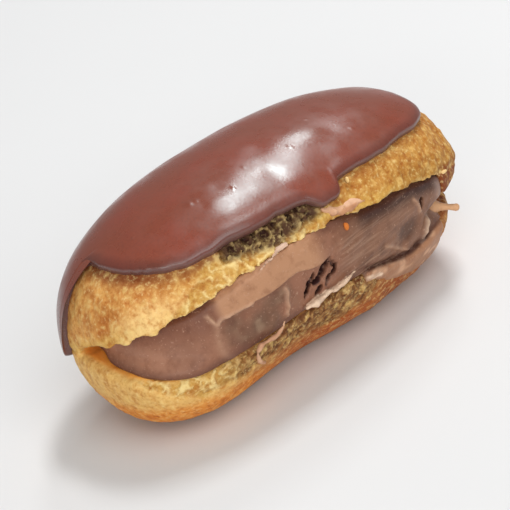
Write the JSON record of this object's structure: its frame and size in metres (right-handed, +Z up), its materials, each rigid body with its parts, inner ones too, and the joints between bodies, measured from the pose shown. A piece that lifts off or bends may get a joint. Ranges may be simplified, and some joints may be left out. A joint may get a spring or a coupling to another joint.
{
  "type": "chocolate eclair",
  "caption": "Short choux bun slit along its front, filled with chocolate cream and topped with glossy chocolate icing.",
  "frame": {"origin": "under the middle of the whole's box, on the surface that the bun rests on", "axes": "+X along the bun; -Y the side where the slit opens and the cream shows; +Z up"},
  "size_m": [0.0896, 0.047, 0.043],
  "materials": {
    "choux": "baked golden choux crust, paler and porous where it is cut",
    "cream": "soft chocolate cream with a satin surface",
    "icing": "smooth glossy milk chocolate icing"
  },
  "bodies": {
    "root": {"choux_bun": "choux", "cream_filling": "cream", "chocolate_icing": "icing"}
  },
  "joints": []
}
